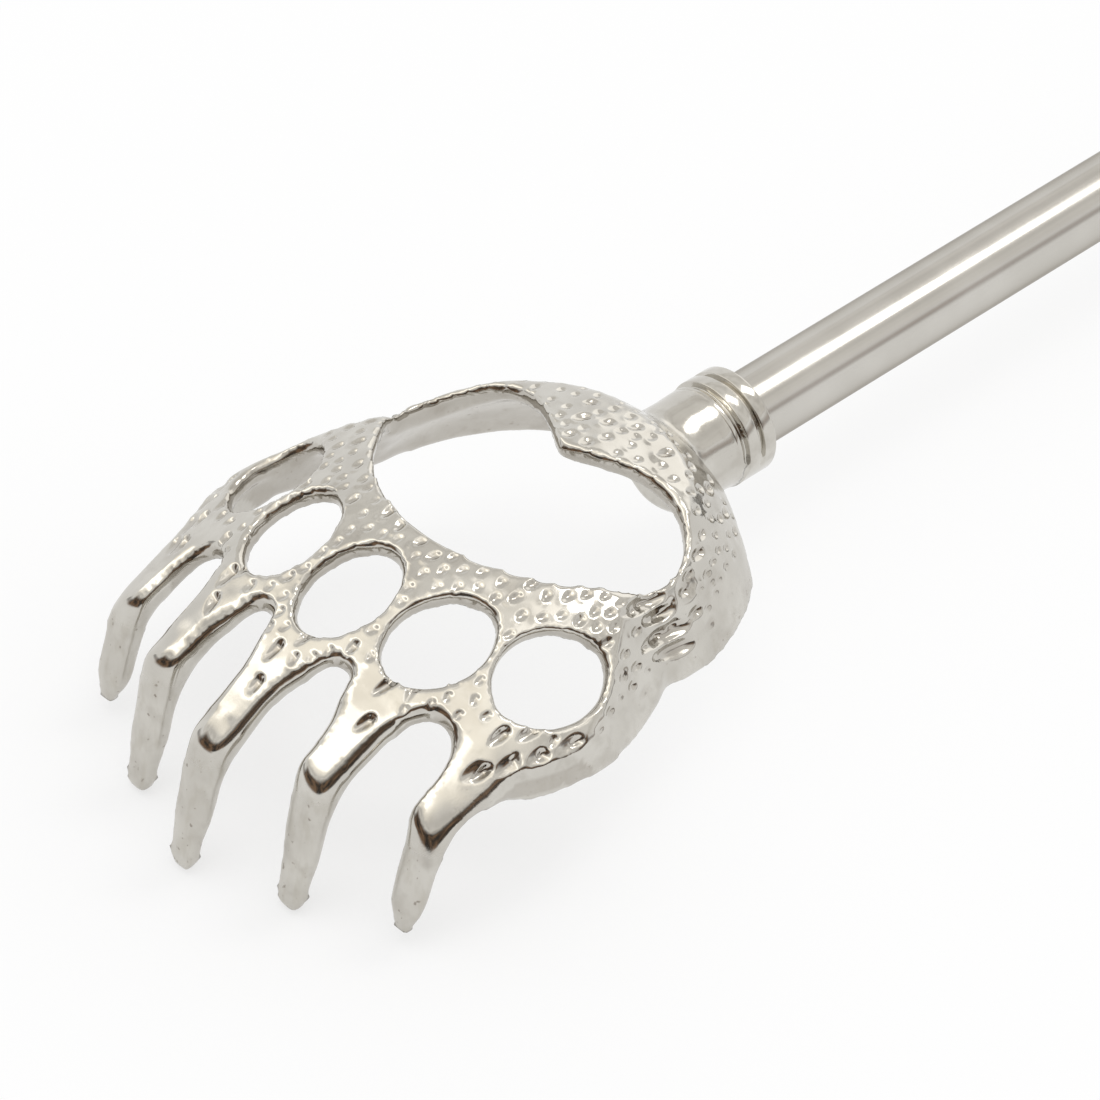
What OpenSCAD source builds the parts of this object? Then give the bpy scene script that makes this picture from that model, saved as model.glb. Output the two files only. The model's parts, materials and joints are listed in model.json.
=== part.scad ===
// Telescopic back scratcher with a cast bear-paw head, lying on its claws and its grip.
// Pieces are drawn along a shaft axis: x runs from the collar mouth towards the claws, z is up.
// lay() then sets the shaft down so that the middle claw tips and the grip touch the floor.

/* [Telescope] */
// Outside diameter of the thinnest tube, the one that carries the head
thin_d = 7; // [6.4:0.1:7.6]
// Wall thickness of every tube
tube_wall = 0.4; // [0.35:0.05:0.5]
// Radial gap between one tube and the next
tube_gap = 0.35; // [0.32:0.01:0.45]
// How far each section draws out
travel = 95; // [70:1:110]
// Thin tube left showing between the collar and the next mouth when closed
neck_show = 5; // [3:0.5:10]
// Tube left showing at each step when closed
step_show = 4; // [2.5:0.5:8]
// Length of the rolled-in mouth of a tube
neck_l = 2; // [1.5:0.1:3]
// Running clearance of everything that slides or turns, on the radius
run_fit = 0.05; // [0.02:0.01:0.08]
// Spare length left when a section meets its stop
stop_gap = 0.5; // [0.3:0.1:1.5]

/* [Tail fittings] */
// Length of a brass friction shoe
shoe_l = 12; // [8:0.5:16]
// Angle that one half-shell shoe spans
shoe_angle = 168; // [140:1:174]
// Length of the ring pressed on each tube's tail
ring_l = 2; // [1.5:0.1:3]
// Length of the rolled bead ahead of the shoes
bead_l = 1; // [0.8:0.1:1.6]
// End play of the shoes between ring and bead
end_play = 0.1; // [0.05:0.01:0.2]

/* [Handle] */
// Thickness of the rubber grip
grip_t = 2.4; // [1.8:0.1:3]
// Bare outer tube ahead of the grip
grip_setback = 16; // [8:1:30]
// Number of grooves round the grip
grip_grooves = 12; // [6:1:14]
// Width of one groove
groove_w = 1.6; // [1.2:0.1:2.2]
// Depth of one groove
groove_d = 0.7; // [0.4:0.1:1]
// Spacing of the grooves
groove_pitch = 4.6; // [3.6:0.1:5]
// Plug of the end cap inside the outer tube
plug_l = 8; // [6:0.5:12]
// Length of the end cap behind the tube
cap_l = 13; // [11.5:0.5:16]
// How much smaller the end cap is than the grip, on the radius
cap_inset = 0.5; // [0.2:0.1:1]
// Diameter of the hanging hole
hang_d = 5; // [4:0.1:6]

/* [Collar] */
// Wall of the collar round the thin tube
collar_wall = 1.3; // [1.1:0.1:1.6]
// How far the mouth beads stand out from the barrel
bead_rise = 0.2; // [0.1:0.05:0.4]
// Width of one mouth bead
bead_w = 1.4; // [1.1:0.1:1.8]
// Width of the groove beside a mouth bead
bead_groove_w = 0.4; // [0.3:0.1:0.6]
// Depth of the socket for the thin tube
socket_l = 8; // [6:0.5:8.5]
// Length of the barrel from its mouth to its closed end under the heel
barrel_l = 10.2; // [10:0.1:11]

/* [Paw] */
// Distance from the collar mouth to the highest point of the paw
crown_x = 28.5; // [27:0.1:30]
// Height of the paw's crown above the shaft axis
crown_z = 9.6; // [9:0.1:10.2]
// Radius of the paw along its length
arch_r = 62; // [56:1:70]
// Radius of the paw across its width
dome_r = 40; // [36:1:46]
// Thickness of the plate at the crown
plate_t = 1.5; // [1.3:0.1:1.8]
// Thickness of the fingers at the knuckles
finger_t = 2.8; // [2.6:0.1:3]
// Height of the lip along the outer edge
lip_h = 4.4; // [4:0.1:5]
// Width of the lip
lip_w = 1.6; // [1.4:0.1:2]
// Half width of the paw at the heel
heel_half_w = 20.1; // [19.6:0.1:20.6]
// Half width of the paw at the toes
fore_half_w = 22.8; // [22.2:0.1:23.4]
// Radius of the skirt that wraps the sides of the palm
skirt_r = 20.6; // [20.2:0.1:21]
// Lower edge of the skirt below the shaft axis
skirt_drop = 2.5; // [1.5:0.1:3.2]

/* [Holes] */
// Radius of the palm hole's front edge
palm_r = 15.8; // [15:0.1:16.2]
// Distance of the palm hole's centre from the collar mouth
palm_x = 20.7; // [20.3:0.1:21.1]
// Radius of the two rear lobes of the palm hole
lobe_r = 7; // [6.4:0.1:7.2]
// Radius of the arc that the toe holes sit on
toe_arc_r = 25.6; // [25:0.1:26.2]
// Distance of that arc's centre from the collar mouth
toe_arc_x = 18.9; // [18.4:0.1:19.4]
// Angle between neighbouring toe holes
toe_step = 21.2; // [20.6:0.1:21.6]
// Half length of a toe hole
toe_a = 4.9; // [4.4:0.1:5.2]
// Half width of a toe hole
toe_b = 3.7; // [3.3:0.1:3.8]
// Inward turn of the outer toe holes
toe_turn = 10; // [0:1:20]

/* [Claws] */
// Distance from the collar mouth to the middle knuckle
knuckle_x = 61; // [59:0.1:63]
// How far the neighbouring knuckles sit back
inner_setback = 3.4; // [2:0.1:5]
// How far the outer knuckles sit back
outer_setback = 7.6; // [6:0.1:9]
// Sideways place of the neighbouring claws
inner_y = 9.6; // [9:0.1:10]
// Sideways place of the outer claws
outer_y = 18.7; // [18:0.1:19.2]
// Depth of the claw tips below the shaft axis
claw_depth = 12.2; // [11.5:0.1:14]
// How far the outer claws end above the others
outer_lift = 1.2; // [0.5:0.1:2]
// Forward lean of the claws, knuckle to tip
claw_lean = 3; // [2:0.1:4]
// Width of a claw at the knuckle
claw_w = 4.2; // [3.8:0.1:4.6]
// Width of a claw above its tip
claw_tip_w = 3.3; // [2.8:0.1:3.6]
// Radius of the bend at the knuckle
knuckle_r = 2; // [1.4:0.1:2.4]
// Radius of the hollow behind a claw
hollow_r = 7; // [6:0.5:8]
// Radius of the valley beside the middle claw
valley_r = 1.6; // [1.3:0.1:1.8]

/* [Hidden] */
$fn = 64;

// Rolled edges of the tubes
roll_ramp = 0.2;
roll_in = 0.12;
mouth_edge = 0.1;

// Tubes: section 1 is the handle tube, section 5 the thin one
sections = 5;
tube_step = 2 * (tube_wall + tube_gap);
function tube_r(k) = thin_d / 2 + (sections - k) * tube_step / 2;
function bore_r(k) = tube_r(k) - tube_wall;

// Places along the shaft with the thin section drawn out and the others closed
function mouth_x(k) = -neck_show - travel - (sections - 1 - k) * step_show;
grip_overlap = ring_l + shoe_l + bead_l + 2 * end_play + neck_l + stop_gap;
function tail_x(k) = mouth_x(k - 1) - grip_overlap - (k == sections ? 0 : travel);
function front_x(k) = k == sections ? socket_l : mouth_x(k);

// Handle
tail_room = 2;
plug_bevel = 0.5;
cap_round = 6;
grip_edge = 1;
groove_start = 8;
groove_bevel = 0.3;
plug_x = tail_x(2) - tail_room;
handle_x = plug_x - plug_l;
cap_x = handle_x - cap_l;
grip_r = tube_r(1) + grip_t;
grip_x = mouth_x(1) - grip_setback;
cap_r = grip_r - cap_inset;

// Claws: place, setback and side by number, from 0 in the middle to 2 outside
knuckles = [knuckle_x, knuckle_x - inner_setback, knuckle_x - outer_setback];
claw_ys = [0, inner_y, outer_y];

// Claw tip: its thickness and rounds, the nub it ends in, and the hollow behind it
claw_root = 7.5;
tip_t = 1.3;
toe_round = 0.6;
sole_round = 0.4;
nub_h = 1.7;
nub_half_w = 0.8;
nub_round = 0.7;
armpit_back = 1.4;
armpit_drop = 2.7;
root_cover = 0.2;

// How the shaft lies: claw tips and the rear of the grip touch the floor
tip_x = knuckle_x + claw_lean - toe_round;
rest_x = handle_x + grip_edge / 2;
tilt = atan((claw_depth - grip_r) / (tip_x - rest_x));
lift = claw_depth * cos(tilt) - tip_x * sin(tilt);
front_end = knuckle_x + claw_lean;
shift = -(front_end + cap_x) / 2;

module lay() {
    translate([shift, 0, lift]) rotate([0, -tilt, 0]) children();
}

// Turns a profile of [radius, x] points about the shaft axis
module turned(points) {
    rotate([0, 90, 0]) rotate_extrude() polygon(points);
}

// Points of an arc of radius r that rounds the corner c between a and b
function unit(v) = v / norm(v);
function round_corner(a, c, b, r, steps = 6) =
    let (u = unit(a - c), v = unit(b - c))
    let (half = acos(u * v) / 2)
    let (mid = c + unit(u + v) * r / sin(half))
    let (p = c + u * r / tan(half) - mid, q = c + v * r / tan(half) - mid)
    let (turn = acos(p * q / (r * r)))
    [for (i = [0:steps]) let (t = turn * i / steps) mid + (p * sin(turn - t) + q * sin(t)) / sin(turn)];

// Height of a domed surface that lies a depth under the crown and has an arch of radius r
function arch_drop(x, r) = r - sqrt(r * r - pow(x - crown_x, 2));
function dome_z(x, y, depth, r) = crown_z - dome_r + sqrt(pow(dome_r - depth - arch_drop(x, r), 2) - y * y);
function top_z(x, y) = dome_z(x, y, 0, arch_r);

// Inside of the paw: its arch is tighter, so that the plate thickens towards the fingers
finger_run = knuckles[1] - crown_x;
finger_sag = arch_drop(knuckles[1], arch_r) + finger_t - plate_t;
inside_r = (finger_run * finger_run + finger_sag * finger_sag) / (2 * finger_sag);
function inside_z(x, y) = dome_z(x, y, plate_t, inside_r);

// Everything below such a surface
paw_len = 75;
module dome(depth, r) {
    translate([0, 0, crown_z - dome_r]) rotate([0, 90, 0]) rotate_extrude()
        intersection() {
            translate([dome_r - depth - r, crown_x]) circle(r = r);
            square([2 * dome_r, paw_len]);
        }
}

// Everything inside the skirt: round at the heel, widening towards the toes, set in by a depth
skirt_axis_z = -8;
skirt_x = 26;
heel_round = 22;
flare = 0.34;
module skirt(depth) {
    r = skirt_r - depth;
    end_r = r + flare * (paw_len - skirt_x);
    translate([0, 0, skirt_axis_z]) rotate([0, 90, 0]) rotate_extrude() {
        intersection() {
            translate([skirt_r - heel_round, skirt_x]) circle(r = heel_round - depth);
            square([skirt_r, skirt_x]);
        }
        polygon([[0, skirt_x], [r, skirt_x], [end_r, paw_len], [0, paw_len]]);
    }
}

// Outline of the paw seen from above, without its holes
heel_x = 21.5;
heel_r = 10.8;
fore_x = 37;
fore_r = 16;
rear_x = 9;
rear_half_w = 8;
shoulder_angle = 35;
flank_angle = 60;
module paw_outline() {
    heel_y = heel_half_w - heel_r;
    fore_y = fore_half_w - fore_r;
    for (side = [-1, 1]) {
        translate([heel_x, side * heel_y]) circle(r = heel_r);
        translate([fore_x, side * fore_y]) circle(r = fore_r);
    }
    shoulder = [heel_x - heel_r * cos(shoulder_angle), heel_y + heel_r * sin(shoulder_angle)];
    polygon([
        [rear_x, -rear_half_w], [rear_x, rear_half_w], shoulder, [heel_x, heel_y],
        [fore_x, fore_y], [fore_x, -fore_y], [heel_x, -heel_y], [shoulder[0], -shoulder[1]]
    ]);
}

// Plate that runs out to the knuckles, before the gaps are cut
root_x = 44;
finger_end = 3;
module finger_field() {
    flank = [fore_x + fore_r * cos(flank_angle), fore_half_w - fore_r + fore_r * sin(flank_angle)];
    inner_mid = inner_y / 2;
    outer_mid = (inner_y + outer_y) / 2;
    for (side = [0, 1]) mirror([0, side]) polygon([
        [root_x, 0], [knuckles[0] - finger_end, 0], [knuckles[0] - finger_end, inner_mid],
        [knuckles[1] - finger_end, inner_mid], [knuckles[1] - finger_end, outer_mid],
        [knuckles[2] - finger_end, outer_mid], [knuckles[2] - finger_end, outer_y + claw_w / 2],
        flank, [root_x, flank[1]]
    ]);
}

// Gap between two fingers: a round valley at x that opens to width w at the knuckles
module finger_gap(x, y, r, end_x, w) {
    start = x + r;
    translate([start, y]) circle(r = r);
    polygon([
        [start, y - r], [start, y + r], [end_x, y + w / 2],
        [paw_len, y + w / 2], [paw_len, y - w / 2], [end_x, y - w / 2]
    ]);
}

inner_valley_x = 49;
outer_valley_x = 46.6;
outer_valley_r = 2.1;
module finger_gaps() {
    inner_end = knuckles[1] - finger_end;
    outer_end = knuckles[2] - finger_end;
    inner_w = inner_y - claw_w;
    outer_w = outer_y - inner_y - claw_w;
    for (side = [-1, 1]) {
        finger_gap(inner_valley_x, side * inner_y / 2, valley_r, inner_end, inner_w);
        finger_gap(outer_valley_x, side * (inner_y + outer_y) / 2, outer_valley_r, outer_end, outer_w);
    }
}

// Four-arc oval of half length a and half width b
module oval(a, b) {
    end_r = 0.8 * b;
    end_x = a - end_r;
    side_r = (end_x * end_x + b * b - end_r * end_r) / (2 * (b - end_r));
    side_y = side_r - b;
    join_x = end_x * side_r / (side_r - end_r);
    for (side = [-1, 1]) translate([side * end_x, 0]) circle(r = end_r);
    intersection() {
        translate([0, side_y]) circle(r = side_r);
        translate([0, -side_y]) circle(r = side_r);
        square([2 * join_x, 2 * b], center = true);
    }
}

// Toe holes, cut square to the paw's top
module toe_holes() {
    for (i = [-2:2]) {
        x = toe_arc_x + toe_arc_r * cos(i * toe_step);
        y = toe_arc_r * sin(i * toe_step);
        lean = asin(y / dome_r);
        translate([x, y, top_z(x, y)]) rotate([-lean, 0, 0]) rotate(-sign(i) * toe_turn)
            linear_extrude(2 * lip_h, center = true) oval(toe_a, toe_b / cos(lean));
    }
}

// Heart-shaped palm hole: a round front, two rear lobes and a cusp between them
lobe_ahead = 3.5;
bite = 31;
module palm_hole() {
    lobe_x = palm_x + lobe_ahead;
    lobe_y = sqrt(palm_r * palm_r - lobe_ahead * lobe_ahead) - lobe_r;
    cheek = [lobe_x - lobe_r * cos(bite), lobe_y - lobe_r * sin(bite)];
    cusp = [cheek[0] + cheek[1] * tan(bite), 0];
    for (side = [-1, 1]) translate([lobe_x, side * lobe_y]) circle(r = lobe_r);
    polygon([cusp, cheek, [lobe_x, lobe_y], [lobe_x, -lobe_y], [cheek[0], -cheek[1]]]);
    intersection() {
        translate([palm_x, 0]) circle(r = palm_r);
        translate([lobe_x, -palm_r]) square(2 * palm_r);
    }
}

// Paw seen from above with its palm hole and gaps
module paw_plan() {
    difference() {
        union() {
            paw_outline();
            finger_field();
        }
        palm_hole();
        finger_gaps();
    }
}

// Lip that hangs from the outer edge of the paw and ends under the outer fingers
lip_end_x = 47.5;
module lip_plan() {
    inset = (fore_half_w - lip_w) / fore_half_w;
    difference() {
        paw_outline();
        translate([fore_x * (1 - inset), 0]) scale(inset) paw_outline();
        translate([lip_end_x, -paw_len / 2]) square(paw_len);
        translate([root_x, -inner_y]) square([paw_len, 2 * inner_y]);
    }
}

// The outer claws ride above the other three
function claw_lift(i) = i == 2 ? outer_lift : 0;

// Height of a claw's sole: the three in the middle reach one floor
function sole_z(i) = -claw_depth + (knuckles[0] - knuckles[i]) * tan(tilt) + claw_lift(i);

// Side view of a claw, from the finger to the tip, as points [x, z]
function claw_side(i) =
    let (x = knuckles[i], y = claw_ys[i], back_x = x - claw_root)
    let (slope_z = claw_w / 2 * y / dome_r)
    let (back = [back_x, top_z(back_x, y) + slope_z], bend = [x, top_z(x, y) + slope_z])
    let (toe = [x + claw_lean, sole_z(i)], sole = [x + claw_lean - tip_t, sole_z(i)])
    let (armpit = [x - armpit_back, top_z(x, y) - armpit_drop + claw_lift(i)])
    let (under = [back_x, inside_z(back_x, y) + slope_z + root_cover])
    concat(
        [back],
        round_corner(back, bend, toe, knuckle_r),
        round_corner(bend, toe, sole, toe_round),
        round_corner(toe, sole, armpit, sole_round),
        round_corner(sole, armpit, under, hollow_r),
        [under]
    );

// Front view of a claw, as points [y, z]
function claw_front(i) =
    let (a = claw_w / 2, b = claw_tip_w / 2, c = nub_half_w)
    let (foot = sole_z(i), nub_z = foot + nub_h)
    concat(
        [[-a, crown_z], [-a, 0], [-b, nub_z]],
        round_corner([-b, nub_z], [-c, foot], [c, foot], nub_round),
        round_corner([-c, foot], [c, foot], [b, nub_z], nub_round),
        [[b, nub_z], [a, 0], [a, crown_z]]
    );

module claw(i, side) {
    translate([0, side * claw_ys[i], 0]) intersection() {
        rotate([90, 0, 0]) linear_extrude(2 * claw_w, center = true) polygon(claw_side(i));
        rotate([90, 0, 90]) linear_extrude(paw_len) polygon(claw_front(i));
    }
}

// Collar barrel with two beads at its mouth, whose grooves run over the upper half only
bead_bevel = 0.3;
barrel_round = 1;
module collar() {
    r = thin_d / 2 + collar_wall;
    b = r + bead_rise;
    floor_r = r - bead_bevel;
    pitch = bead_w + bead_groove_w;
    mouth_l = 2 * pitch;
    turned([
        [0, 0], [b - bead_bevel, 0], [b, bead_bevel], [b, bead_w - bead_bevel], [floor_r, bead_w],
        [floor_r, pitch], [b, pitch + bead_bevel], [b, pitch + bead_w - bead_bevel], [floor_r, pitch + bead_w],
        [floor_r, mouth_l], [r, mouth_l + bead_bevel],
        [r, barrel_l - barrel_round], [r - barrel_round, barrel_l], [0, barrel_l]
    ]);
    rotate([0, 90, 0]) rotate([0, 0, -90]) rotate_extrude(angle = 180) polygon([
        [0, 0], [b - bead_bevel, 0], [b, bead_bevel],
        [b, mouth_l], [r, mouth_l + bead_bevel], [0, mouth_l + bead_bevel]
    ]);
}

// Stands a plan up from the skirt's lower edge to above the crown
module upright() {
    translate([0, 0, -skirt_drop]) linear_extrude(2 * crown_z + skirt_drop) children();
}

// Takes the flank's lower edge up from its widest place to the outer claw
flank_rise = 15;
module flank_cut() {
    translate([root_x, 0, -skirt_drop]) rotate([0, -flank_rise, 0])
        translate([0, -paw_len / 2, -2 * skirt_drop]) cube([paw_len, paw_len, 2 * skirt_drop]);
}

module claw_head() {
    color("gainsboro") lay() difference() {
        union() {
            intersection() {
                dome(0, arch_r);
                skirt(0);
                union() {
                    difference() {
                        upright() paw_plan();
                        intersection() {
                            dome(plate_t, inside_r);
                            skirt(plate_t);
                        }
                        toe_holes();
                        flank_cut();
                    }
                    difference() {
                        upright() lip_plan();
                        dome(lip_h, arch_r - lip_h);
                        flank_cut();
                    }
                    for (i = [0:2], side = (i == 0 ? [1] : [-1, 1])) claw(i, side);
                }
            }
            collar();
        }
        turned([[0, -neck_l], [thin_d / 2, -neck_l], [thin_d / 2, socket_l], [0, socket_l]]);
    }
}

// Tube with a rolled-in mouth at the front and a rolled bead ahead of its shoes
module tube(k) {
    r = tube_r(k);
    b = bore_r(k);
    x0 = k == 1 ? handle_x : tail_x(k);
    x1 = front_x(k);
    lip = tube_r(k + 1) + run_fit;
    roll_x = x1 - 0.4 * neck_l;
    bead_x = x0 + ring_l + shoe_l + 2 * end_play;
    bead_end = bead_x + bead_l;
    bead_r = r + tube_gap - run_fit;
    bead = k == 1 ? [] : [
        [r, bead_x], [bead_r, bead_x + roll_ramp], [bead_r, bead_end - roll_ramp], [r, bead_end]
    ];
    mouth = k == sections ? [[r, x1], [b, x1]] : [
        [r, x1 - neck_l], [r - roll_in, roll_x], [lip + tube_wall - mouth_edge, x1],
        [lip, x1], [lip, roll_x], [b, x1 - neck_l]
    ];
    color("lightgray") lay() turned(concat([[r, x0]], bead, mouth, [[b, x0]]));
}

// Brass ring pressed on the tail of tube k
module tail_ring(k) {
    r = tube_r(k);
    x = tail_x(k);
    edge = r + tube_gap - run_fit;
    color("goldenrod") lay() turned([[r, x], [edge, x], [edge, x + ring_l], [r, x + ring_l]]);
}

// Half-shell brass shoe between tube k and the bore round it
module shoe(k, side) {
    inside = tube_r(k) + run_fit;
    outside = bore_r(k - 1) - run_fit;
    x = tail_x(k) + ring_l + end_play;
    color("goldenrod") lay() rotate([0, 90, 0])
        rotate([0, 0, (side > 0 ? 180 : 0) - shoe_angle / 2]) rotate_extrude(angle = shoe_angle)
            polygon([[inside, x], [outside, x], [outside, x + shoe_l], [inside, x + shoe_l]]);
}

// Rubber sleeve on the handle tube with rounded ends and a band of grooves
module grip_sleeve() {
    r = tube_r(1);
    floor_r = grip_r - groove_d;
    edge = 0.3 * grip_edge;
    front = [
        [r, grip_x], [grip_r - grip_edge, grip_x], [grip_r - edge, grip_x - edge], [grip_r, grip_x - grip_edge]
    ];
    grooves = [for (i = [0:grip_grooves - 1]) let (x = grip_x - groove_start - i * groove_pitch) each [
        [grip_r, x], [floor_r, x - groove_bevel],
        [floor_r, x - groove_w + groove_bevel], [grip_r, x - groove_w]
    ]];
    rear = [[grip_r, rest_x], [grip_r - grip_edge / 2, handle_x], [r, handle_x]];
    color("dimgray") lay() turned(concat(front, grooves, rear));
}

// Plug and domed end with a hole to hang it by
module end_cap() {
    plug_r = bore_r(1);
    plug = [
        [0, plug_x], [plug_r - plug_bevel, plug_x], [plug_r, plug_x - plug_bevel],
        [plug_r, handle_x], [cap_r, handle_x]
    ];
    dome_edge = round_corner([cap_r, handle_x], [cap_r, cap_x], [0, cap_x], cap_round);
    color("dimgray") lay() difference() {
        turned(concat(plug, dome_edge, [[0, cap_x]]));
        translate([cap_x + cap_l / 2, 0, 0]) rotate([90, 0, 0])
            cylinder(d = hang_d, h = 3 * cap_r, center = true);
    }
}

claw_head();
for (k = [1:sections]) {
    tube(k);
}
for (k = [2:sections]) {
    tail_ring(k);
    shoe(k, 1);
    shoe(k, -1);
}
grip_sleeve();
end_cap();
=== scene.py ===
# %% [markdown]
# # A telescopic back scratcher with a cast bear-paw head
# The object is a bright plated zinc casting on five nested steel tubes, with a rubber grip.
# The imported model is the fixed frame: every piece below is put where that frame says, in metres.
# Work on the casting itself is done in millimetres along the shaft, because its sizes are easy to read there.

# %% Load the frame
import json
import math
import random

import bmesh
import bpy
import numpy as np
from mathutils import Matrix, Vector, noise
from mathutils.kdtree import KDTree


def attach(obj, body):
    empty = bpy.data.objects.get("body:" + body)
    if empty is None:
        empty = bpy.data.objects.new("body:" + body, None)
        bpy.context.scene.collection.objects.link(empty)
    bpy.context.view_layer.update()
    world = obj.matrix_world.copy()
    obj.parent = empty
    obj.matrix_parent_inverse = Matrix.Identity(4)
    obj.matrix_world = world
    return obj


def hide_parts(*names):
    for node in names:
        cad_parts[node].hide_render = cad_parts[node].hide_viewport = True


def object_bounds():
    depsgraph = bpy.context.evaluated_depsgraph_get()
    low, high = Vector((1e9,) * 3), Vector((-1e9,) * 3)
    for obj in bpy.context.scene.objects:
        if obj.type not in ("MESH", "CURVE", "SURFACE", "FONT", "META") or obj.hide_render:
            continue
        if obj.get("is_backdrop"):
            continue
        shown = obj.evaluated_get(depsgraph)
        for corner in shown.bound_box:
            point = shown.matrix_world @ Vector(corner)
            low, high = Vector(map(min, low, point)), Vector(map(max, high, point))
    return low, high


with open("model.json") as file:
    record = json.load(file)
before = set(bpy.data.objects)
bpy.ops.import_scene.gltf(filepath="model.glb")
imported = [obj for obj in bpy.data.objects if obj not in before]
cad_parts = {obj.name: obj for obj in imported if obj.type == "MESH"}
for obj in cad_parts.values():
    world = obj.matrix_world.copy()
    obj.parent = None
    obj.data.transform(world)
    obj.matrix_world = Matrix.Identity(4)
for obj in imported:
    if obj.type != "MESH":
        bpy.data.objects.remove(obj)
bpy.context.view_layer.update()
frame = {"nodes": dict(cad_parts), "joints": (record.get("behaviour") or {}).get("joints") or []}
nodes = frame["nodes"]
scene = bpy.context.scene
scene.view_settings.view_transform = "Standard"

mm = 0.001
twist = next(j for j in frame["joints"] if j["name"] == "twist_5")
shaft_dir = Vector(twist["axis"])
collar_mouth_at = Vector(twist["pos_m"])
up_dir = shaft_dir.cross(Vector((0, 1, 0)))
shaft_turn = Matrix((shaft_dir, (0, 1, 0), up_dir)).transposed().to_4x4()
to_frame = Matrix.Translation(collar_mouth_at) @ shaft_turn @ Matrix.Scale(mm, 4)
to_shaft = to_frame.inverted()

# %% [markdown]
# ## Camera
# The photograph was taken with a long lens from above the claws, so near and far claws are nearly the
# same size. The camera's place came from lining up the tube's edges, the collar's rim and the claw tips
# with the solids.

# %% Camera
lens_at = Vector((0.37357, 0.28371, 0.35637))
look = Vector((-0.50149, -0.54789, -0.66957))
roll = math.radians(-0.425)
lens = bpy.data.cameras.new("camera")
lens.sensor_width = 36
lens.lens = 199.5
lens.clip_start = 0.01
camera = bpy.data.objects.new("camera", lens)
camera.location = lens_at
aim = look.to_track_quat("-Z", "Y").to_matrix() @ Matrix.Rotation(roll, 3, "Z")
camera.rotation_euler = aim.to_euler()
scene.collection.objects.link(camera)
scene.camera = camera
print("camera", tuple(round(c, 3) for c in camera.location), "lens", lens.lens)

# %% [markdown]
# ## Writing shaders as sums
# A finish is easier to read as an expression than as a list of nodes and links.
# `Wire` holds one output socket, and arithmetic on it adds Math nodes. `Finish.node` adds any other node:
# its settings are set first, then each input takes a number, a colour or another wire.


# %% Shader helpers
class Wire:
    """One output socket; arithmetic on it adds Math nodes."""

    def __init__(self, finish, socket):
        self.finish = finish
        self.socket = socket

    def _math(self, operation, first, second):
        return self.finish.node("ShaderNodeMath", {"operation": operation}, [first, second])

    def __add__(self, other):
        return self._math("ADD", self, other)

    def __sub__(self, other):
        return self._math("SUBTRACT", self, other)

    def __rsub__(self, other):
        return self._math("SUBTRACT", other, self)

    def __mul__(self, other):
        return self._math("MULTIPLY", self, other)

    def __pow__(self, other):
        return self._math("POWER", self, other)

    __radd__ = __add__
    __rmul__ = __mul__

    def step(self, low, high):
        """Smooth step from 0 at low to 1 at high."""
        smooth = {"interpolation_type": "SMOOTHSTEP"}
        return self.finish.node("ShaderNodeMapRange", smooth, [self, low, high, 0.0, 1.0])


class Finish:
    """The node tree of a material or of the world."""

    def __init__(self, owner):
        owner.use_nodes = True
        self.owner = owner
        self.tree = owner.node_tree
        self.tree.nodes.clear()

    def node(self, kind, settings=None, inputs=(), out=0):
        """Adds a node and gives one of its outputs; inputs go by name or by order."""
        made = self.tree.nodes.new(kind)
        for name, value in (settings or {}).items():
            setattr(made, name, value)
        pairs = inputs.items() if isinstance(inputs, dict) else enumerate(inputs)
        for key, value in pairs:
            if isinstance(value, Wire):
                self.tree.links.new(value.socket, made.inputs[key])
            else:
                made.inputs[key].default_value = value
        return Wire(self, made.outputs[out])

    def mix(self, factor, first, second):
        """Mixes two colours, each given as (r, g, b) or as a wire."""
        first, second = (c if isinstance(c, Wire) else (*c, 1.0) for c in (first, second))
        return self.node("ShaderNodeMix", {"data_type": "RGBA"}, {0: factor, 6: first, 7: second}, 2)

    def grain(self, place, scale, detail=3.0):
        """Noise from 0 to 1 whose features are about scale metres across."""
        return self.node("ShaderNodeTexNoise", {}, {"Vector": place, "Scale": 1.0 / scale, "Detail": detail})

    def bump(self, height, depth, strength):
        """Normal of a height field whose full step is depth metres."""
        return self.node("ShaderNodeBump", {}, {"Strength": strength, "Distance": depth, "Height": height})

    def place(self, stretch=(1.0, 1.0, 1.0), move=(0.0, 0.0, 0.0)):
        """Object coordinates, stretched and then moved."""
        at = self.node("ShaderNodeTexCoord", out="Object")
        return self.node("ShaderNodeMapping", {}, {"Vector": at, "Location": move, "Scale": stretch})

    def axis(self, place, name):
        """One coordinate of a place."""
        return self.node("ShaderNodeSeparateXYZ", {}, [place], name)

    def distance(self, place):
        """How far a place is from the origin."""
        return self.node("ShaderNodeVectorMath", {"operation": "LENGTH"}, [place], "Value")

    def glow(self, shade):
        """Light of one colour, given as (r, g, b, 1) or as a wire."""
        return self.node("ShaderNodeEmission", {}, {"Color": shade, "Strength": 1.0})

    def surface(self, shader):
        """Ends the tree with a shader and gives its owner."""
        is_world = isinstance(self.owner, bpy.types.World)
        end = self.tree.nodes.new("ShaderNodeOutputWorld" if is_world else "ShaderNodeOutputMaterial")
        self.tree.links.new(shader.socket, end.inputs["Surface"])
        return self.owner

    def glow_through(self, cover, shade):
        """A glowing surface that is clear where cover is 0."""
        clear = self.node("ShaderNodeBsdfTransparent")
        return self.surface(self.node("ShaderNodeMixShader", {}, [cover, clear, self.glow(shade)]))

    def solid(self, colour, rough, normal, metal=0.0, slant=(1.0, 1.0, 1.0)):
        """The look of a solid; slant tints what metal mirrors at a slant."""
        return self.surface(self.node("ShaderNodeBsdfPrincipled", {}, {
            "Base Color": colour, "Metallic": metal, "Roughness": rough, "Specular Tint": (*slant, 1.0),
            "Normal": normal}))


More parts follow.
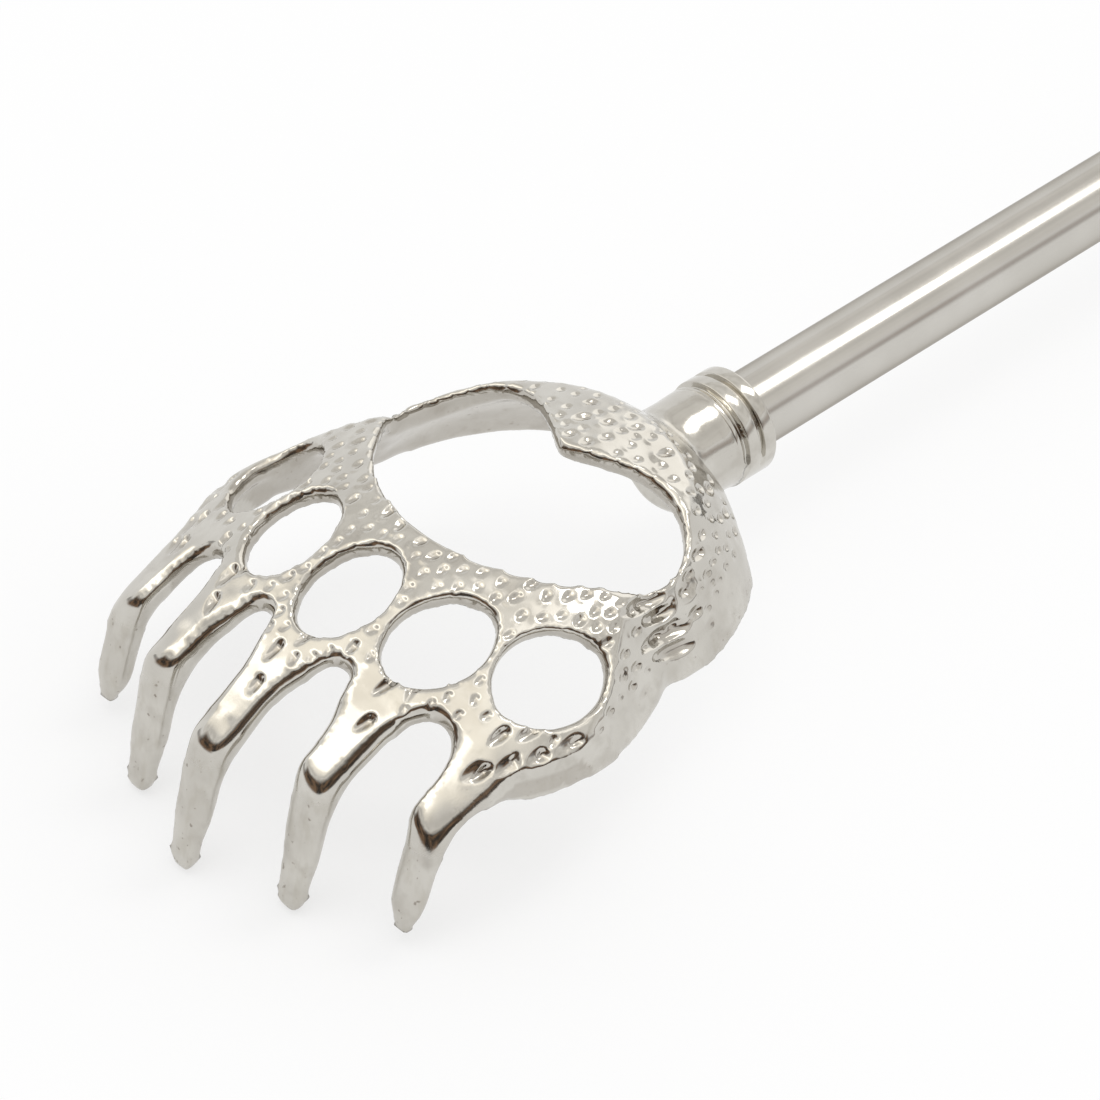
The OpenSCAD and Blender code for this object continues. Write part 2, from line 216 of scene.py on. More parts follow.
def new_finish(name):
    return Finish(bpy.data.materials.new(name))


def dress(piece, material):
    piece.data.materials.clear()
    piece.data.materials.append(material)


print("shader helpers ready")

# %% [markdown]
# ## Studio
# Polished metal shows what stands around it, so the studio is part of the look: a white room, a white
# table, a soft box overhead and a dark curtain behind the photographer. The curtain is what draws the
# thin dark lines along the shoulders of the fingers and across each knuckle, and its low band, the dado,
# draws the brown line along the tube. A pale, patchy ceiling clouds the flats, and its strip light runs
# along the crowns of the fingers. A white wall behind the handle lights the heel.
# A lamp doesn't hide what is behind it in the metal, so the soft box adds its level to the ceiling's.
# A wide overhead light that the metal doesn't mirror gives the soft shadow on the table.

# %% World
room = Finish(bpy.data.worlds.new("studio"))
scene.world = room.owner
path = "ShaderNodeLightPath"
mirrored = room.node(path, out="Is Camera Ray") + room.node(path, out="Is Glossy Ray")
mirrored = mirrored + room.node(path, out="Is Transmission Ray")
seen = room.mix(mirrored, (0.84, 0.84, 0.84), (1.0, 1.0, 1.0))
room.surface(room.node("ShaderNodeBackground", {}, [seen, 1.0]))
print("world: a white room")


# %% Table
def linked(name, bm):
    """Turns a bmesh into an object of the scene."""
    mesh = bpy.data.meshes.new(name)
    bm.to_mesh(mesh)
    bm.free()
    piece = bpy.data.objects.new(name, mesh)
    scene.collection.objects.link(piece)
    return piece


def stage_piece(name, bm):
    """An object of the studio, not of the model."""
    piece = linked(name, bm)
    piece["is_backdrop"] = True
    return piece


table_gap, claw_tips_x = 0.00005, 0.148
bm = bmesh.new()
bmesh.ops.create_grid(bm, x_segments=2, y_segments=2, size=2.0)
table = stage_piece("table", bm)
table.location.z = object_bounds()[0][2] - table_gap

sheet = new_finish("white_table")
from_part = sheet.distance(sheet.place(stretch=(3.2, 6.0, 0.0)))
from_tips = sheet.distance(sheet.place(stretch=(1.0, 0.5, 0.0), move=(-claw_tips_x, 0.0, 0.0)))
lit_share = from_tips.step(0.012, 0.04) * 0.2 + from_part.step(0.5, 1.0) * 0.2 + 0.6
matt = sheet.node("ShaderNodeBsdfDiffuse", {}, {"Color": (0.98, 0.98, 0.98, 1.0)})
lit = sheet.glow((1.0, 1.0, 1.0, 1.0))
dress(table, sheet.surface(sheet.node("ShaderNodeMixShader", {}, [lit_share, matt, lit])))
print("table at", round(table.location.z, 6))


# %% Dark curtain behind the camera
def only_mirrored(piece):
    """Shows a piece in the metal and nowhere else."""
    piece.visible_camera = False
    piece.visible_diffuse = False
    piece.visible_shadow = False


def level_way(angle):
    """The level direction at an angle from the x axis."""
    return Vector((math.cos(angle), math.sin(angle), 0.0))


head_at = Vector((0.12, 0.0, 0.015))
curtain_h, curtain_start, curtain_turn = 1.3, math.radians(-70), math.radians(230)
bm = bmesh.new()
foot = bm.verts.new(level_way(curtain_start))
rail = bm.verts.new(foot.co + Vector((0, 0, curtain_h)))
bmesh.ops.spin(bm, geom=[foot, rail, bm.edges.new((foot, rail))], cent=(0, 0, 0), axis=(0, 0, 1),
               angle=curtain_turn, steps=72)
bmesh.ops.translate(bm, verts=bm.verts, vec=head_at)
curtain = stage_piece("curtain", bm)
only_mirrored(curtain)

cloth = new_finish("dark_curtain")
from_head = cloth.place(move=-head_at)
height = cloth.axis(from_head, "Z")
across_way = level_way(math.radians(33))
across = cloth.node("ShaderNodeVectorMath", {"operation": "DOT_PRODUCT"}, [from_head, across_way], "Value")
hung = height.step(0.02, 0.16) * (1 - height.step(0.62, 1.1)) * across.step(0.06, 0.4)
dado = height.step(0.08, 0.2) * (1 - height.step(0.24, 0.44)) * across.step(-0.6, -0.3) * 0.6
cover = 1 - (1 - hung) * (1 - dado)
fold = cloth.grain(from_head, 0.3)
shade = cloth.mix(fold.step(0.42, 0.66), (0.055, 0.048, 0.042), (0.24, 0.155, 0.10))
dress(curtain, cloth.glow_through(cover, shade))
print("curtain:", len(curtain.data.polygons), "faces")

# %% Pale ceiling
ceiling_at = head_at + Vector((-0.15, 0.1, 1.0))
bm = bmesh.new()
bmesh.ops.create_circle(bm, cap_ends=True, segments=48, radius=2.2)
bmesh.ops.translate(bm, verts=bm.verts, vec=ceiling_at)
ceiling = stage_piece("ceiling", bm)
only_mirrored(ceiling)

plaster = new_finish("pale_ceiling")
from_middle = plaster.place(move=-ceiling_at)
out_from = plaster.distance(from_middle)
ahead = plaster.axis(from_middle, "X")
aside = plaster.axis(from_middle, "Y")
patch = plaster.grain(from_middle, 0.3, 2.0)
strip = (1 - ((ahead - 0.37) ** 2).step(0.01, 0.15)) * (1 - aside.step(0.2, 0.6))
core = (1 - ((ahead - 0.44) ** 2).step(0.002, 0.016)) * (1 - aside.step(0.1, 0.4))
shade = plaster.mix(out_from.step(0.16, 0.5), (1.7, 1.66, 1.59), (0.92, 0.905, 0.88))
shade = plaster.mix(patch.step(0.42, 0.6) * 0.55, shade, (0.64, 0.625, 0.60))
shade = plaster.mix(strip, shade, (1.45, 1.39, 1.27))
shade = plaster.mix(core, shade, (2.3, 2.24, 2.12))
dress(ceiling, plaster.glow_through(1 - out_from.step(1.7, 2.2), shade))
print("ceiling at", round(ceiling_at.z, 3))

# %% White wall behind the handle
wall_at = head_at + Vector((-1.3, -0.45, 0.62))
bm = bmesh.new()
bmesh.ops.create_grid(bm, x_segments=1, y_segments=1, size=0.7)
bmesh.ops.rotate(bm, verts=bm.verts, cent=(0, 0, 0), matrix=Matrix.Rotation(math.radians(90), 3, "Y"))
bmesh.ops.translate(bm, verts=bm.verts, vec=wall_at)
wall = stage_piece("white_wall", bm)
only_mirrored(wall)

paint = new_finish("wall_paint")
out_from = paint.distance(paint.place(move=-wall_at))
dress(wall, paint.glow_through(1 - out_from.step(0.35, 0.68), (1.5, 1.48, 1.44, 1.0)))
print("wall at", tuple(round(c, 2) for c in wall_at))

# %% Soft box and overhead light
across_view = math.atan2(0.679, -0.734)


def panel(name, offset, height, width, depth, level, colour, mirrored=True):
    """A level lamp over the head; level is how bright it looks, and offset its place at a height of 1."""
    lamp = bpy.data.lights.new(name, "AREA")
    lamp.shape = "RECTANGLE"
    lamp.size = width
    lamp.size_y = depth
    lamp.energy = level * math.pi * width * depth
    lamp.color = colour
    stand = bpy.data.objects.new(name, lamp)
    stand.location = head_at + Vector((*offset, 1.0)) * height
    stand.rotation_euler.z = across_view
    stand.visible_glossy = mirrored
    scene.collection.objects.link(stand)


panel("soft_box_back", (-0.70, 0.09), 0.9, 0.46, 0.28, 3.2, (1.0, 0.98, 0.95))
panel("overhead", (0.0, 0.0), 1.0, 0.7, 0.7, 0.6, (1.0, 1.0, 1.0), mirrored=False)
print("a soft box and an overhead light")

# %% [markdown]
# ## The casting
# The paw is one zinc casting: a thin domed plate with a palm hole, toe holes and bent claws.
# Modelling its rounded edges by hand would mean hundreds of bevels that meet at odd angles.
# Instead the solid is copied, remeshed into even small faces and smoothed, which rounds every edge at once.
# The fingers and claws are smoothed longer, because on the real casting they are nearly round.


# %% Copy and remesh the paw
def solid_copy(node, name):
    """A merged copy of a CAD node's mesh, in millimetres along the shaft."""
    bm = bmesh.new()
    bm.from_mesh(nodes[node].data)
    bmesh.ops.remove_doubles(bm, verts=bm.verts, dist=1e-6)
    bmesh.ops.transform(bm, matrix=to_shaft, verts=bm.verts)
    return linked(name, bm)


def remeshed(piece, voxel, rounds):
    """Replaces a piece's mesh by an even, smoothed one."""
    grid = piece.modifiers.new("grid", "REMESH")
    grid.mode = "VOXEL"
    grid.voxel_size = voxel
    ease = piece.modifiers.new("ease", "SMOOTH")
    ease.factor = 0.5
    ease.iterations = rounds
    made = bpy.data.meshes.new_from_object(piece.evaluated_get(bpy.context.evaluated_depsgraph_get()))
    piece.modifiers.clear()
    piece.data = made
    return piece


def put_in_frame(piece):
    """Moves a piece from millimetres along the shaft to its place in the frame, and shades it smooth."""
    piece.data.transform(to_frame)
    piece.data.polygons.foreach_set("use_smooth", [True] * len(piece.data.polygons))
    piece.data.update()


paw = remeshed(solid_copy("claw_head", "paw_casting"), 0.355, 7)
print("paw after remesh:", len(paw.data.vertices), "vertices", len(paw.data.polygons), "faces")

# %% [markdown]
# The paw's outer skin is part of two turned surfaces, a dome over the top and a skirt round the sides.
# How deep a point lies under them tells the top of the plate from its edges and its underside.
# The crease between the two is smoothed away: the real paw has none.

# %% Depth under the skin
crown_x, crown_z = 28.5, 9.6
arch_r, dome_r = 62.0, 40.0
skirt_r, skirt_x, skirt_z, heel_round, flare = 20.6, 26.0, -8.0, 22.0, 0.34
knuckles = [(61.0, 0.0), (57.6, 9.6), (57.6, -9.6), (53.4, 18.7), (53.4, -18.7)]


def skins(p):
    """Depth of points under the dome and inside the skirt."""
    x, y, z = p[:, 0], p[:, 1], p[:, 2]
    dome = arch_r - np.hypot(x - crown_x, np.hypot(y, z - crown_z + dome_r) - dome_r + arch_r)
    reach = np.hypot(y, z - skirt_z)
    heel = heel_round - np.hypot(x - skirt_x, reach - skirt_r + heel_round)
    side = (skirt_r + flare * (x - skirt_x) - reach) / math.hypot(1, flare)
    return dome, np.where(x < skirt_x, heel, side)


def top_z(x, y):
    """Height of the dome over a place."""
    drop = arch_r - math.sqrt(arch_r**2 - (x - crown_x) ** 2)
    return crown_z - dome_r + math.sqrt((dome_r - drop) ** 2 - y * y)


def table_of(mesh, what):
    """The points or normals of a mesh as rows."""
    flat = np.empty(len(mesh.vertices) * 3)
    mesh.vertices.foreach_get(what, flat)
    return flat.reshape(-1, 3)


def share(value):
    """A number kept between 0 and 1."""
    return min(max(value, 0.0), 1.0)


print("top of the dome at the middle knuckle:", round(top_z(*knuckles[0]), 2), "mm")

# %% [markdown]
# First the fingers' tops are rounded across, then each part of the paw is smoothed as long as it needs.
# Smoothing thins the casting, so the last step swells it back towards the skin, and the fingers most.


# %% Round the fingers and smooth the paw
def ease_where(bm, picked, rounds):
    """Smooths the points that a mask picks."""
    bm.verts.ensure_lookup_table()
    verts = [bm.verts[i] for i in np.flatnonzero(picked)]
    for _ in range(rounds):
        bmesh.ops.smooth_vert(bm, verts=verts, factor=0.5, use_axis_x=True, use_axis_y=True, use_axis_z=True)


finger_l, finger_half, round_off = 9.0, 2.1, 0.6
swell, finger_swell = 0.10, 0.16
spots = table_of(paw.data, "co")
x, y, z = spots[:, 0], spots[:, 1], spots[:, 2]
dome, side = skins(spots)
depth = np.minimum(dome, side)
bm = bmesh.new()
bm.from_mesh(paw.data)
bm.normal_update()
for kx, ky in knuckles:
    for v in bm.verts:
        aside = abs(v.co.y - ky) / finger_half
        if v.co.x > kx - finger_l and aside < 1.25 and v.normal.x + v.normal.z > 0.3:
            along = min((v.co.x - kx + finger_l) / 5, 1.0)
            v.co -= v.normal * round_off * aside**2 * along * share((v.co.z + 10) / 4)

crease = (dome < 1.1) & (side < 1.1) & (z > 0.5) & (x > 10)
above_tips = (x > 10.5) & (z > -9.6)
plate_rim = (depth > 0.15) & (depth < 1.3) & (x > 11) & (x < 50) & (z > 0)
flank_notch = (x > 22) & (x < 35) & (np.abs(y) > 17.5) & (z < 0) & (z > -9.6)
ease_where(bm, crease, 17)
ease_where(bm, above_tips, 6)
for start, rounds in ((44.0, 4), (46.0, 7), (48.0, 11)):
    ease_where(bm, (x > start) & (z > -10.6), rounds)
ease_where(bm, plate_rim, 11)
ease_where(bm, flank_notch, 22)
for kx, ky in knuckles:
    ease_where(bm, np.linalg.norm(spots - np.array([kx, ky, top_z(kx, ky)]), axis=1) < 3.4, 12)

bm.normal_update()
depth = np.minimum(*skins(np.array([v.co for v in bm.verts])))
for v, under in zip(bm.verts, depth):
    claw_share = share((v.co.x - 45.0) / 4.0)
    low_share = share((v.co.z + 10.8) / 2.5) * share((v.co.x - 10.5) / 1.5)
    v.co += v.normal * min(max(under, 0.0), swell + finger_swell * claw_share) * low_share
bm.to_mesh(paw.data)
bm.free()
depth = np.minimum(*skins(table_of(paw.data, "co")))
print("share of points on the skin:", round(float((depth < 0.35).mean()), 2))


# %% Finer faces on the top
def outward_share(p, n):
    """How far normals point away from the middle line under the paw."""
    away = p - np.array([0.0, 0.0, -12.0])
    away[:, 0] = 0.25 * (p[:, 0] - crown_x)
    return (n * away).sum(axis=1) / np.linalg.norm(away, axis=1)


bm = bmesh.new()
bm.from_mesh(paw.data)
on_flank = (depth < 1.1) & (np.abs(y) > 14) & (x > 17) & (x < 33) & (z > -2)
on_top = set(np.flatnonzero((depth < 0.6) & (x > 9) & (x < 56) & (z > 0) | on_flank))
top_edges = {e for f in bm.faces if all(v.index in on_top for v in f.verts) for e in f.edges}
bmesh.ops.subdivide_edges(bm, edges=list(top_edges), cuts=1, use_grid_fill=True)
bm.normal_update()
spots = np.array([v.co for v in bm.verts])
x, z = spots[:, 0], spots[:, 2]
facing = outward_share(spots, np.array([v.normal for v in bm.verts]))
depth = np.minimum(*skins(spots))
rim = (facing > 0.0) & (facing < 0.9) & (depth < 1.3) & (x > 11) & (x < 50) & (z > 1)
ease_where(bm, rim, 8)
bm.to_mesh(paw.data)
bm.free()
paw.data.update()
spots = table_of(paw.data, "co")
normals = table_of(paw.data, "normal")
depth = np.minimum(*skins(spots))
triangles = sum(len(f.vertices) - 2 for f in paw.data.polygons)
print("paw with a finer top:", len(spots), "points", triangles, "triangles")

# %% [markdown]
# Distance to the nearest edge decides where the fur stops.
# A search tree over the points that aren't on the skin gives it for any outline, holes and gaps alike.


# %% Distance to the edges
def search_tree(ids):
    tree = KDTree(len(ids))
    for i in ids:
        tree.insert(spots[i], i)
    tree.balance()
    return tree


skin = (depth < 0.95) & (outward_share(spots, normals) > 0.55)
skin_ids = np.flatnonzero(skin)
edges = search_tree(np.flatnonzero(~skin & (depth < 1.2)))
edge_gap = np.zeros(len(spots))
for i in skin_ids:
    edge_gap[i] = edges.find(spots[i])[2]
print("points on the skin:", len(skin_ids), "widest from an edge:", round(float(edge_gap.max()), 1), "mm")

# %% [markdown]
# The fur on the real casting is a field of shallow almond dents that follow the shaft, larger pits on the
# fingers and deep tufts on the flanks. Each dent here is a scoop: it starts shallow on the claws' side,
# behind a small raised tip, and ends in a steep wall on the handle's side, which is the part that looks
# dark. A fixed seed keeps them in the same places on every run.

# %% One scoop
ground = np.zeros(len(spots))
# Painted shade: how much darker the colour is made in the dents and on the hole walls.
dent_wall_shade = np.zeros(len(spots))
skin_tree = search_tree(skin_ids)


def press(centre, normal, length, width, sink, along, raised=0.3, edge=1.2, deep_at=0.4):
    """Presses one scoop along a direction; its deepest point lies deep_at of the way to the rear end."""
    along = (along - normal * along.dot(normal)).normalized()
    across = normal.cross(along)
    for place, i, _ in skin_tree.find_range(centre, length):
        step = place - centre
        ahead = step.dot(along) / (length / 2) + deep_at
        ahead /= 1 - deep_at if ahead < 0 else 1 + deep_at
        far = math.hypot(ahead, step.dot(across) / (width / 2))
        if far < 1:
            ground[i] -= sink * (1 - far * far) ** edge
            # Painted shade: the middle of each dent is darkened, and deeper dents are darkened more.
            dent_wall_shade[i] = max(dent_wall_shade[i], (1 - far) * min(sink / 0.3, 1.0))
        tip = (step - along * 0.42 * length).length / (0.42 * width)
        if tip < 3:
            ground[i] += sink * raised * math.exp(-tip * tip)


def on_skin(x, y, z):
    """Skin point and normal nearest to a place."""
    _, i, _ = skin_tree.find((x, y, z))
    return Vector(spots[i]), Vector(normals[i])


print("skin points to press:", len(skin_ids))

# %% Press the fur into the top
rng = random.Random(7)
edge_room, fur_from_x, fur_from_z = 0.75, 10.8, 1.6
bare_l, bare_half = 8.5, 3.6
pit_width, pit_room = 1.15, 2.6


def furry(x, y, z, gap_mm):
    """Tells if a skin point may hold a small dent: not near an edge, on a finger or low on a flank."""
    on_finger = any(x > kx - bare_l and abs(y - ky) < bare_half for kx, ky in knuckles)
    return gap_mm > edge_room and x > fur_from_x and z > fur_from_z and not on_finger


kept = []
for kx, ky in knuckles:
    for back, aside, sink in ((5.9, 0.5, 0.40), (9.0, -0.6, 0.44), (11.6, 0.6, 0.34)):
        back += rng.uniform(-0.5, 0.5)
        here, normal = on_skin(kx - back, ky + aside, top_z(kx - back, ky + aside))
        length = 2.3 + 0.6 * rng.random()
        press(here, normal, length, pit_width, sink, level_way(rng.uniform(-0.1, 0.3)), raised=0.0)
        kept.append((here, pit_room))
choices = [int(i) for i in skin_ids if furry(*spots[i], edge_gap[i])]
rng.shuffle(choices)
for i in choices:
    here = Vector(spots[i])
    big = rng.random() ** 2
    room_mm = 1.3 + 0.75 * big
    if all((here - other).length > (room_mm + other_room) / 2 for other, other_room in kept):
        kept.append((here, room_mm))
        fan = math.atan2(here.y, here.x + 25.0)
        lean = level_way(fan * 0.6 + rng.uniform(-0.35, 0.35))
        press(here, Vector(normals[i]), 1.3 + 1.0 * big, 0.76 + 0.36 * big, 0.14 + 0.2 * big, lean)
print("dents pressed:", len(kept))

# %% [markdown]
# The tufts are four long strokes on each flank, given by their ends on one side and mirrored to the other.
# A bowl and a few shallow marks lie round them, and a row of larger dents follows the paw's front shoulder.

# %% Tufts on the flanks, round knuckles and an uneven skin
tufts = [  # front end, rear end, width, depth
    ((29.8, 16.5, 6.0), (24.2, 16.1, 4.8), 1.6, 0.60),
    ((28.1, 17.3, 4.5), (23.8, 16.9, 3.7), 1.4, 0.55),
    ((29.3, 18.4, 3.2), (22.6, 17.8, 2.0), 1.7, 0.65),
    ((28.3, 18.8, 1.7), (23.0, 18.6, 0.4), 1.6, 0.55),
]
bowl = (21.8, 16.3, 4.0)
marks = [(32.4, 19.6, 3.6), (31.7, 20.3, 1.8), (30.5, 20.4, 0.6), (19.0, 16.3, 2.9), (20.8, 17.9, 0.6)]
shoulder_x, shoulder_y, shoulder_slope = (40.0, 42.7, 45.2, 47.6), 22.4, 0.42


def on_side(sign, place):
    """A place on the near flank, or its mirror image on the other one."""
    return Vector((place[0], sign * place[1], place[2]))


for sign in (-1, 1):
    for front, rear, width, sink in tufts:
        front, rear = on_side(sign, front), on_side(sign, rear)
        here, normal = on_skin(*front.lerp(rear, 0.55))
        stroke = front - rear
        press(here, normal, stroke.length, width, sink, stroke, raised=0.0, edge=1.0, deep_at=0.25)
    here, normal = on_skin(*on_side(sign, bowl))
    press(here, normal, 3.2, 2.3, 0.3, level_way(sign * 0.6))
    for mark in marks:
        here, normal = on_skin(*on_side(sign, mark))
        length = 2.0 + 0.7 * rng.random()
        lean = level_way(sign * rng.uniform(-0.2, 0.5))
        press(here, normal, length, 1.3, 0.17, lean, raised=0.0, edge=1.8)
    for row_x in shoulder_x:
        row_y = sign * (shoulder_y - shoulder_slope * (row_x - shoulder_x[0]) - 0.5 * rng.random())
        here, normal = on_skin(row_x, row_y, top_z(row_x, row_y))
        length = 2.5 + 0.9 * rng.random()
        lean = level_way(sign * rng.uniform(-0.5, 0.1))
        press(here, normal, length, 1.55, 0.28, lean, raised=0.1)
for kx, ky in knuckles:
    near = np.linalg.norm(spots - np.array([kx - 0.8, ky, top_z(kx - 0.8, ky)]), axis=1)
    ground += 0.08 * np.exp(-((near / 1.6) ** 2))
ground += [0.075 * noise.noise(Vector(p) * 0.22) + 0.042 * noise.noise(Vector(p) * 0.5) for p in spots]
print("deepest dent", round(float(ground.min()), 2), "mm")

# %% Move the points
mouth_l, mouth_room = 3.5, 4.35
half_w, steady_w = 22.7, 18.0
shape = spots + normals * ground[:, None]
reach = np.hypot(shape[:, 1], shape[:, 2])
in_mouth = (shape[:, 0] < mouth_l) & (reach > mouth_room)
squeeze = np.where(in_mouth, mouth_room / np.maximum(reach, 1e-6), 1.0)
shape[:, 1:] *= squeeze[:, None]
wide = np.abs(shape[:, 1])
excess = max(float(wide.max()) - half_w, 0.0)
shape[:, 1] -= np.sign(shape[:, 1]) * excess * np.clip((wide - steady_w) / (half_w - steady_w), 0, 1) ** 2
paw.data.vertices.foreach_set("co", shape.ravel())
print("paw box in mm along the shaft:", shape.min(axis=0).round(1), shape.max(axis=0).round(1))

# %% Mark satin and painted shade
x, y, z = spots[:, 0], spots[:, 1], spots[:, 2]
satin = np.clip((1.5 - z) / 4.0, 0, 1)
satin[depth > 1.0] = 0.4
for kx, ky in knuckles:
    claw = (x > kx - 3.0) & (np.abs(y - ky) < 3.2)
    satin = np.where(claw, np.clip((top_z(kx, ky) - 0.9 - z) / 1.2, 0, 1), satin)
satin[x < 10.5] = 0.15
# Painted shade on the walls of the holes, darker further in.
walls = ~skin & (depth < 2.2) & (x > 11) & (x < 50)
dent_wall_shade = np.where(walls, np.maximum(dent_wall_shade, 0.45 + 0.3 * np.clip(depth, 0, 1)), dent_wall_shade)
for name, values in (("satin", satin), ("dent_wall_shade", np.clip(dent_wall_shade, 0, 1))):
    paw.data.attributes.new(name, "FLOAT", "POINT").data.foreach_set("value", values.astype(np.float32))
put_in_frame(paw)
print("satin share:", round(float(satin.mean()), 2), "painted_shade share:", round(float(dent_wall_shade.mean()), 2))

# %% [markdown]
# ## Collar mouth
# The tube enters the casting through a short barrel with two beads. Their grooves are narrower than the
# remesh can hold, so this ring is turned separately: a profile is spun round the shaft, and the grooves
# are filled on the lower half, where the mould left the barrel plain.


# %% Turned pieces
def turned(name, profile, steps, bevel):
    """Spins a closed profile of (x, radius) points round the shaft and rounds its edges."""
    bm = bmesh.new()
    ring = [bm.verts.new((x, 0, r)) for x, r in profile]
    loop = [bm.edges.new((a, b)) for a, b in zip(ring, ring[1:] + ring[:1])]
    bmesh.ops.spin(bm, geom=ring + loop, cent=(0, 0, 0), axis=(1, 0, 0), angle=math.tau, steps=steps,
                   use_merge=True)
    bmesh.ops.remove_doubles(bm, verts=bm.verts, dist=1e-5)
    bmesh.ops.recalc_face_normals(bm, faces=bm.faces)
    sharp = [e for e in bm.edges if len(e.link_faces) == 2 and e.calc_face_angle() > 0.35]
    bmesh.ops.bevel(bm, geom=sharp, offset=bevel, segments=3, profile=0.5, affect="EDGES", material=-1,
                    clamp_overlap=True)
    return linked(name, bm)


bead_r, groove_r, barrel_r, bore_r = 5.0, 4.45, 4.78, 3.56
mouth = turned("collar_mouth", [
    (0.0, bore_r), (0.0, bead_r - 0.12), (0.12, bead_r), (1.3, bead_r), (1.42, groove_r),
    (1.78, groove_r), (1.9, bead_r), (3.1, bead_r), (3.22, groove_r), (3.55, groove_r),
    (3.75, barrel_r), (4.2, barrel_r), (4.2, bore_r)], 128, 0.11)
for v in mouth.data.vertices:
    reach = math.hypot(v.co.y, v.co.z)
    if 4.0 < reach < bead_r and 0.3 < v.co.x < 3.5:
        wide = reach + (bead_r - reach) * share((-0.3 - v.co.z) / 0.9)
        v.co.y *= wide / reach
        v.co.z *= wide / reach
put_in_frame(mouth)
print("collar mouth:", len(mouth.data.polygons), "faces")

# %% [markdown]
# ## Grip and end cap
# The grip is a moulded rubber sleeve, so its profile is turned with every rib's edge rounded, and one row
# of points along each side is raised for the seam that the mould's halves leave.
# The cap has a cross hole through its dome. A turned profile can't hold that, so the solid is remeshed
# like the paw, which rounds the hole's rim too.

# %% Ribbed grip
grip_front, grip_rear, grip_r, tube_r = -128.0, -234.7, 8.9, 6.5
groove_count, groove_start, groove_pitch, groove_w, groove_d = 12, 8.0, 4.6, 1.6, 0.7
groove_slope, seam_h = 0.3, 0.07
profile = [(grip_front, tube_r), (grip_front, grip_r - 1.0)]
profile += [(grip_front - 0.3, grip_r - 0.3), (grip_front - 1.0, grip_r)]
for k in range(groove_count):
    start = grip_front - groove_start - k * groove_pitch
    profile += [(start, grip_r), (start - groove_slope, grip_r - groove_d)]
    profile += [(start - groove_w + groove_slope, grip_r - groove_d), (start - groove_w, grip_r)]
profile += [(grip_rear + 0.5, grip_r), (grip_rear, grip_r - 0.5), (grip_rear, tube_r)]
grip = turned("ribbed_grip", profile, 96, 0.22)
for v in grip.data.vertices:
    reach = math.hypot(v.co.y, v.co.z)
    if reach > 7.5 and abs(v.co.z) < 0.2:
        v.co.y *= (reach + seam_h) / reach
put_in_frame(grip)
print("grip:", len(grip.data.polygons), "faces")

# %% Domed cap
cap = remeshed(solid_copy("end_cap", "domed_cap"), 0.24, 5)
put_in_frame(cap)
print("cap:", len(cap.data.polygons), "faces")

# %% [markdown]
# ## Finishes
# The casting is nickel over zinc: mirror bright on the top, satin where the mould left the sides and
# claws, with fine specks, and with painted shade in the dents and on the hole walls. The tubes are drawn
# steel, polished along their length, and what they mirror at a slant is a little darker.

# %% Plated casting
plate = new_finish("bright_nickel")
place = plate.place()
satin_at = plate.node("ShaderNodeAttribute", {"attribute_name": "satin"}, out="Fac")
dent_wall_shade_at = plate.node("ShaderNodeAttribute", {"attribute_name": "dent_wall_shade"}, out="Fac")
cloud = plate.grain(place, 0.004)
haze = plate.grain(place, 0.0022)
speck = plate.grain(place, 0.0006, 2.0).step(0.66, 0.74) * satin_at
streak = plate.grain(plate.place(stretch=(1.0, 1.0, 0.3)), 0.0009, 4.0)
tint = plate.mix(cloud.step(0.3, 0.7), (0.545, 0.523, 0.478), (0.62, 0.60, 0.553))
tint = plate.mix(haze.step(0.5, 0.72) * 0.55, tint, (0.47, 0.445, 0.40))
tint = plate.mix(streak.step(0.46, 0.7) * satin_at * 0.35, tint, (0.44, 0.41, 0.35))
# Painted shade in the dents and on the hole walls, together with the casting's own specks, darkens the tint
# here.
tint = plate.mix(dent_wall_shade_at * 0.35 + speck * 0.55, tint, (0.24, 0.20, 0.16))
rough = 0.085 + satin_at * 0.20 + cloud.step(0.35, 0.75) * 0.05 + speck * 0.2
cast = plate.grain(place, 0.00035, 4.0) * (satin_at * 0.8 + 0.2) - speck
nickel = plate.solid(tint, rough, plate.bump(cast, 0.00002, 0.6), metal=1.0)
dress(paw, nickel)
dress(mouth, nickel)
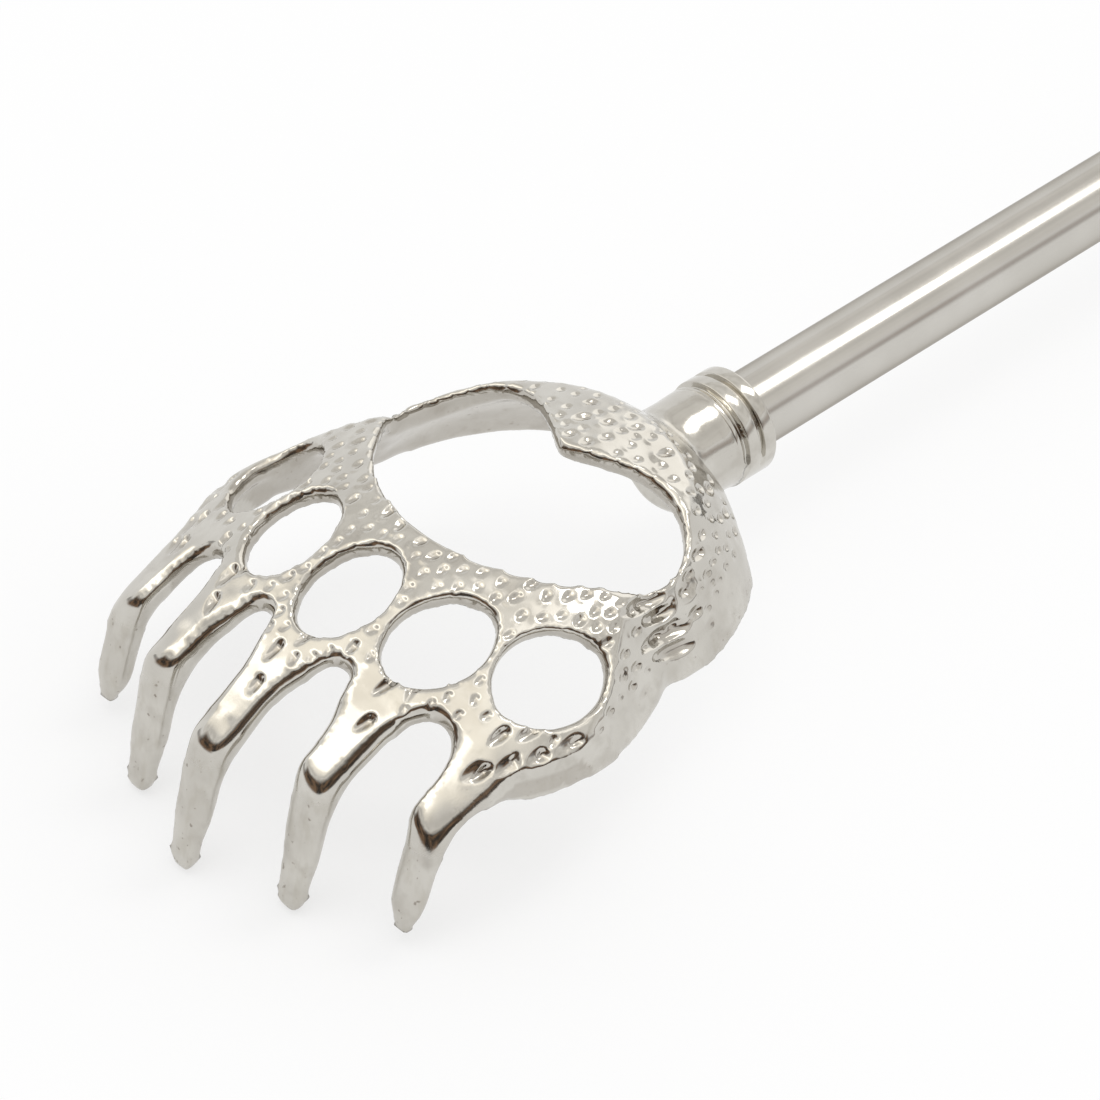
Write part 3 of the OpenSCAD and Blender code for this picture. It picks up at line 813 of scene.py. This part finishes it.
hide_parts("claw_head")
for piece in (paw, mouth):
    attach(piece, "section_5")
print("casting dressed")

# %% Polished steel tubes
steel = new_finish("drawn_steel")
drawn = steel.grain(steel.place(stretch=(0.02, 1.0, 1.0)), 0.0004)
cloud = steel.grain(steel.place(), 0.006)
tint = steel.mix(cloud.step(0.3, 0.7), (0.565, 0.545, 0.505), (0.61, 0.59, 0.55))
rough = 0.13 + drawn.step(0.3, 0.7) * 0.07 + cloud.step(0.4, 0.8) * 0.04
tube_steel = steel.solid(tint, rough, steel.bump(drawn, 0.000004, 0.5), metal=1.0, slant=(0.55, 0.53, 0.5))
for k in range(1, 6):
    dress(nodes[f"tube_{k}"], tube_steel)
print("tubes dressed")

# %% Brass shoes and rings
brass = new_finish("oiled_brass")
turning = brass.grain(brass.place(stretch=(1.0, 0.05, 0.05)), 0.0003)
tint = brass.mix(turning, (0.66, 0.46, 0.18), (0.74, 0.55, 0.25))
brass_look = brass.solid(tint, 0.22 + turning * 0.15, brass.bump(turning, 0.00001, 0.4), metal=1.0)
for name, piece in nodes.items():
    if name.startswith(("shoe_", "tail_ring_")):
        dress(piece, brass_look)
print("shoes and rings dressed")

# %% Rubber grip and plastic cap
rubber = new_finish("grip_rubber")
skin_noise = rubber.grain(rubber.place(), 0.0005, 4.0)
dust = rubber.grain(rubber.place(), 0.012, 4.0)
tint = rubber.mix(dust.step(0.35, 0.8), (0.022, 0.022, 0.023), (0.045, 0.044, 0.043))
dress(grip, rubber.solid(tint, 0.55 + skin_noise * 0.2, rubber.bump(skin_noise, 0.00004, 0.6)))
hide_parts("grip_sleeve")
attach(grip, "handle")

plastic = new_finish("cap_plastic")
pebble = plastic.grain(plastic.place(), 0.0008)
tint = plastic.mix(pebble, (0.024, 0.024, 0.026), (0.034, 0.034, 0.036))
dress(cap, plastic.solid(tint, 0.38 + pebble * 0.14, plastic.bump(pebble, 0.00003, 0.4)))
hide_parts("end_cap")
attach(cap, "handle")
print("finishes:", len(bpy.data.materials))
